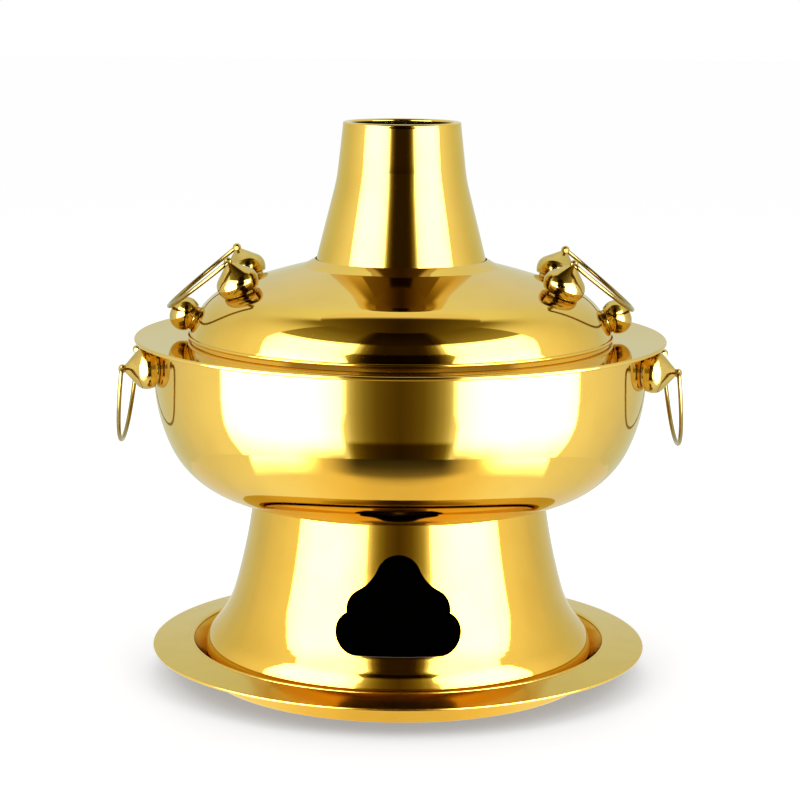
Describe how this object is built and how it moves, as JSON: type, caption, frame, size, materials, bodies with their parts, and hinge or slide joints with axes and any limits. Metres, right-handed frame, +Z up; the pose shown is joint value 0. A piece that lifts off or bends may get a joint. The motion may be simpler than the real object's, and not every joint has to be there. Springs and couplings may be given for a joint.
{
  "type": "chimney hot pot",
  "caption": "Charcoal-fired table hot pot: ring-shaped soup bowl round a central chimney, flared vented stove base in an ash tray, lift-off lid, swinging ring handles on ball studs.",
  "frame": {"origin": "centre of the ash tray's flat underside, on the table", "axes": "+Z up along the chimney; -Y is the front, with the draught vent; the ring handles are on -X and +X"},
  "size_m": [0.3394, 0.32, 0.335],
  "materials": {
    "polished_gold": "polished, fine spin lines",
    "gold_inside": "satin, unpolished inner face",
    "ball_gold": "mirror-polished turned stud",
    "wire_gold": "bright drawn wire",
    "grate_iron": "black, as cast",
    "screw_steel": "bright machined"
  },
  "bodies": {
    "tray": {"ash_tray": "polished_gold"},
    "pot": {"stove_base": "polished_gold", "soup_bowl": "polished_gold", "bowl_rim": "polished_gold", "fire_flue": "gold_inside", "flue_collar": "gold_inside", "grate_lugs": "gold_inside", "bowl_stud_left_front": "ball_gold", "bowl_stud_left_back": "ball_gold", "bowl_stud_right_front": "ball_gold", "bowl_stud_right_back": "ball_gold", "bowl_stud_collars": "ball_gold", "bowl_stud_washers": "screw_steel", "bowl_stud_screws": "screw_steel"},
    "lid": {"lid_dome": "polished_gold", "lid_locating_ring": "gold_inside", "lid_stud_left_front": "ball_gold", "lid_stud_left_back": "ball_gold", "lid_rest_left": "ball_gold", "lid_stud_right_front": "ball_gold", "lid_stud_right_back": "ball_gold", "lid_rest_right": "ball_gold", "lid_stud_collars": "ball_gold", "rest_stud_collars": "ball_gold", "lid_stud_washers": "screw_steel", "rest_stud_washers": "screw_steel", "lid_stud_screws": "screw_steel", "rest_stud_screws": "screw_steel"},
    "chimney": {"chimney_cone": "polished_gold", "chimney_top_ring": "polished_gold", "chimney_spigot": "gold_inside"},
    "grate": {"charcoal_grate": "grate_iron"},
    "lid_handle_left": {"lid_ring_left": "wire_gold"},
    "lid_handle_right": {"lid_ring_right": "wire_gold"},
    "bowl_handle_left": {"bowl_ring_left": "wire_gold"},
    "bowl_handle_right": {"bowl_ring_right": "wire_gold"}
  },
  "joints": [
    {"name": "pot_lift", "type": "slide", "parent": "tray", "child": "pot", "axis": [0, 0, 1], "range_m": [0, 0.06]},
    {"name": "lid_lift", "type": "slide", "parent": "pot", "child": "lid", "axis": [0, 0, 1], "range_m": [0, 0.15]},
    {"name": "chimney_lift", "type": "slide", "parent": "pot", "child": "chimney", "axis": [0, 0, 1], "range_m": [0, 0.06]},
    {"name": "grate_lift", "type": "slide", "parent": "pot", "child": "grate", "axis": [0, 0, 1], "range_m": [0, 0.03]},
    {"name": "lid_handle_left_swing", "type": "hinge", "parent": "lid", "child": "lid_handle_left", "pos_m": [-0.1012, 0, 0.2548], "axis": [0, 1, 0], "range_deg": [0, 205]},
    {"name": "bowl_handle_left_swing", "type": "hinge", "parent": "pot", "child": "bowl_handle_left", "pos_m": [-0.1636, 0, 0.1909], "axis": [0, 1, 0], "range_deg": [-26, 194]},
    {"name": "lid_handle_right_swing", "type": "hinge", "parent": "lid", "child": "lid_handle_right", "pos_m": [0.1012, 0, 0.2548], "axis": [0, -1, 0], "range_deg": [0, 205]},
    {"name": "bowl_handle_right_swing", "type": "hinge", "parent": "pot", "child": "bowl_handle_right", "pos_m": [0.1636, 0, 0.1909], "axis": [0, -1, 0], "range_deg": [-26, 194]}
  ]
}
